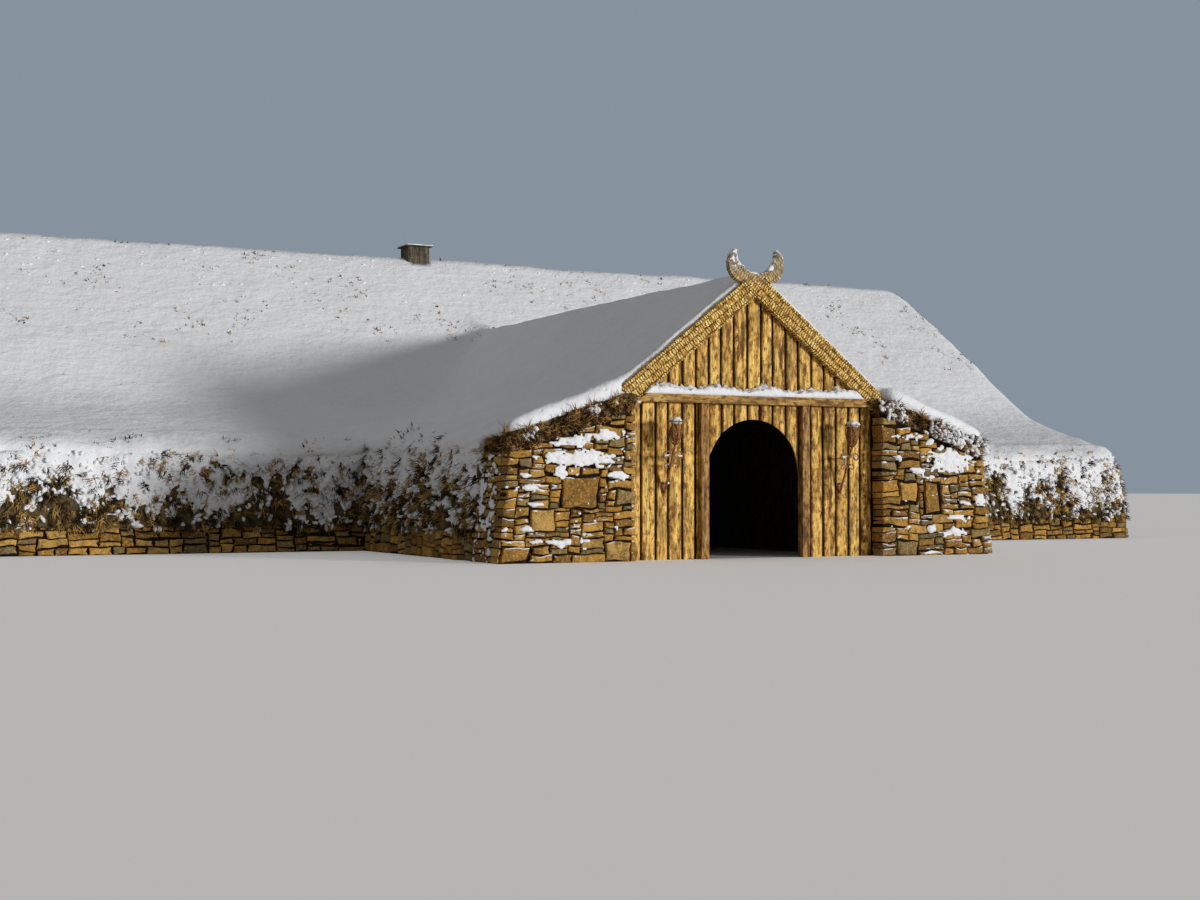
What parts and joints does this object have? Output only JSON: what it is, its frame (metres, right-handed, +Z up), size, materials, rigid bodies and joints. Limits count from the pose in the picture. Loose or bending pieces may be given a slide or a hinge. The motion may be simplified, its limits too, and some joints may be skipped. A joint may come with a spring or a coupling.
{
  "type": "turf house",
  "caption": "Turf longhouse with battered walls, a steep turf roof and a gabled plank porch between dry stone wings.",
  "frame": {"origin": "ground level in the middle of the whole footprint", "axes": "+X along the hall, to the right of someone facing the door; +Y into the house from the door; +Z up"},
  "size_m": [29.8, 23.717, 7.18],
  "materials": {
    "turf": "dry grass turf",
    "stone": "rough split slabs",
    "planks": "tarred and weathered",
    "front_timber": "weathered",
    "hewn_boards": "adze hewn",
    "vent_boards": "weathered grey",
    "inner_timber": "dark with smoke",
    "iron": "rusted",
    "snow": "fresh snow"
  },
  "bodies": {
    "root": {"door_arch_planks": "planks", "door_posts": "front_timber", "gable_board_left": "hewn_boards", "gable_board_right": "hewn_boards", "gable_planks": "planks", "hall_back_wall": "turf", "hall_eave_back": "turf", "hall_eave_front_left": "turf", "hall_eave_front_right": "turf", "hall_end_footings": "stone", "hall_end_wall_left": "turf", "hall_end_wall_right": "turf", "hall_front_wall_left": "turf", "hall_front_wall_right": "turf", "hall_king_posts": "inner_timber", "hall_posts": "inner_timber", "hall_purlins": "inner_timber", "hall_rafters": "inner_timber", "hall_ridge_beam": "inner_timber", "hall_roof_back": "turf", "hall_roof_front": "turf", "hall_side_footings": "stone", "hall_tie_beams": "inner_timber", "plank_front_left": "planks", "plank_front_right": "planks", "porch_eave_left": "turf", "porch_eave_right": "turf", "porch_footings": "stone", "porch_linings": "inner_timber", "porch_plates": "inner_timber", "porch_rafters": "inner_timber", "porch_ridge_beam": "inner_timber", "porch_roof_left": "turf", "porch_roof_right": "turf", "porch_wall_left": "turf", "porch_wall_right": "turf", "smoke_vent_lid": "vent_boards", "smoke_vent_shaft": "vent_boards", "tie_beam": "front_timber", "torch_baskets": "iron", "torch_stems": "iron", "wing_turf_cap_left": "turf", "wing_turf_cap_right": "turf", "wing_wall_left": "stone", "wing_wall_right": "stone"}
  },
  "joints": []
}
